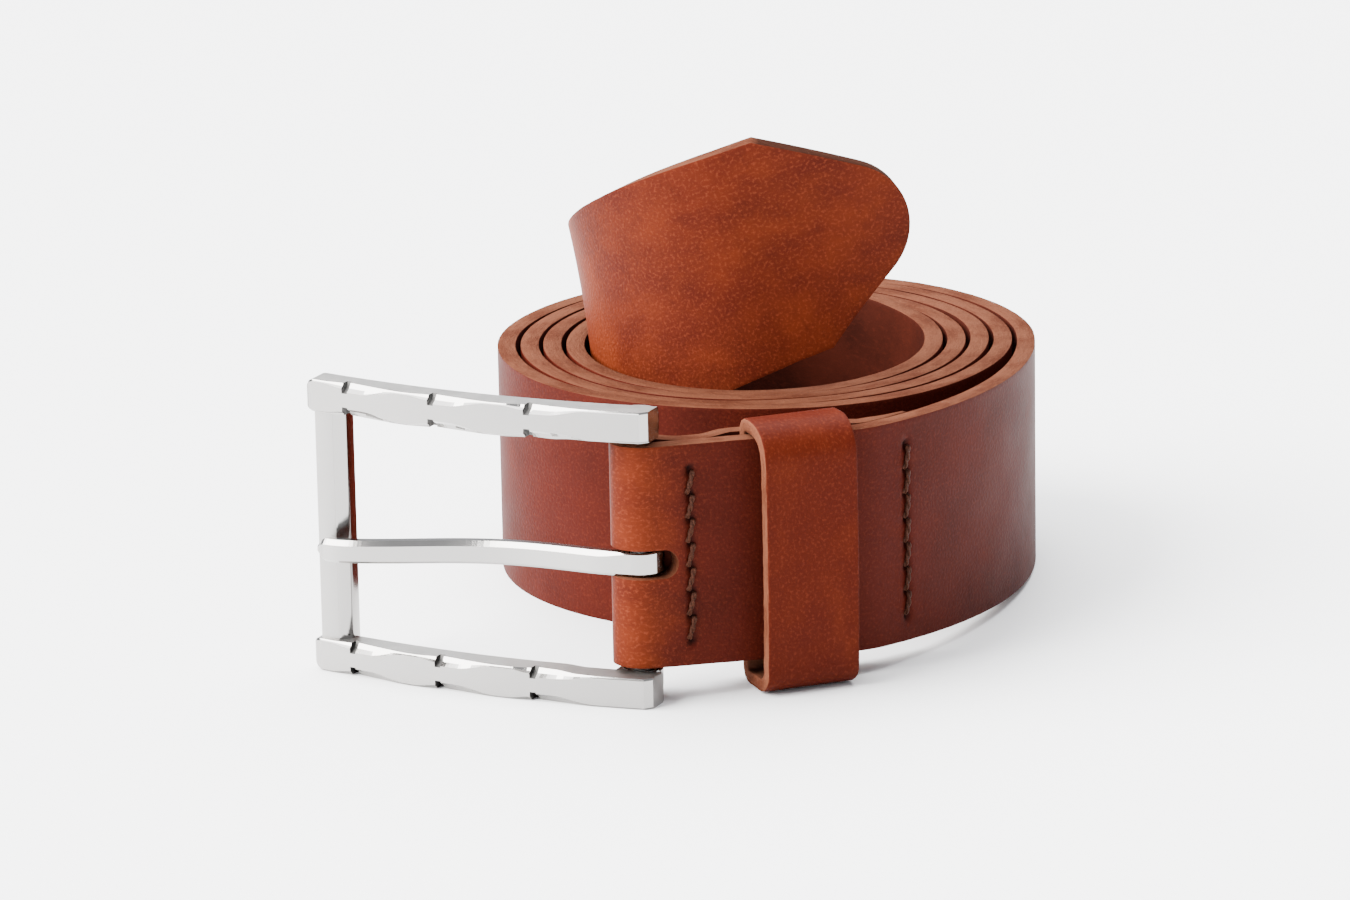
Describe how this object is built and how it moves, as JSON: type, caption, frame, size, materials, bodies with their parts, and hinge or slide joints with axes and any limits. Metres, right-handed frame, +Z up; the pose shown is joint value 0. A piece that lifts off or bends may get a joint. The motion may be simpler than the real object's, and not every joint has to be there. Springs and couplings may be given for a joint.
{
  "type": "leather belt",
  "caption": "Wide leather belt coiled on its edge, with a notched rectangular metal buckle, a sliding leather keeper, stitched turn-back and a pointed tip standing out of the coil.",
  "frame": {"origin": "on the surface the belt stands on, below the middle of the whole outline", "axes": "+Z up across the strap, +Y away from the buckle towards the back of the coil, +X to the right with the buckle in front"},
  "size_m": [0.126, 0.1398, 0.0855],
  "materials": {
    "strap_leather": "waxed full-grain cognac, raw tan edges",
    "keeper_leather": "waxed full-grain, raw pale edges",
    "waxed_thread": "waxed",
    "satin_nickel": "satin with polished bevels",
    "staple_steel": "plain wire"
  },
  "bodies": {
    "belt": {"strap": "strap_leather", "buckle_seam_thread": "waxed_thread", "keeper_seam_thread": "waxed_thread"},
    "buckle": {"buckle_frame": "satin_nickel", "heel_bar": "satin_nickel"},
    "prong": {"prong": "satin_nickel"},
    "keeper": {"keeper_loop": "keeper_leather", "keeper_staple": "staple_steel"}
  },
  "joints": [
    {"name": "buckle_swing", "type": "hinge", "parent": "belt", "child": "buckle", "pos_m": [-0.00611, -0.06113, 0.025], "axis": [0, 0, 1], "range_deg": [-20, 75]},
    {"name": "prong_swing", "type": "hinge", "parent": "buckle", "child": "prong", "pos_m": [-0.00611, -0.06113, 0.025], "axis": [0, 0, 1], "range_deg": [0, 50]},
    {"name": "keeper_slide", "type": "slide", "parent": "belt", "child": "keeper", "axis": [0.9272, 0.3746, 0], "range_m": [-0.002, 0.002]}
  ]
}
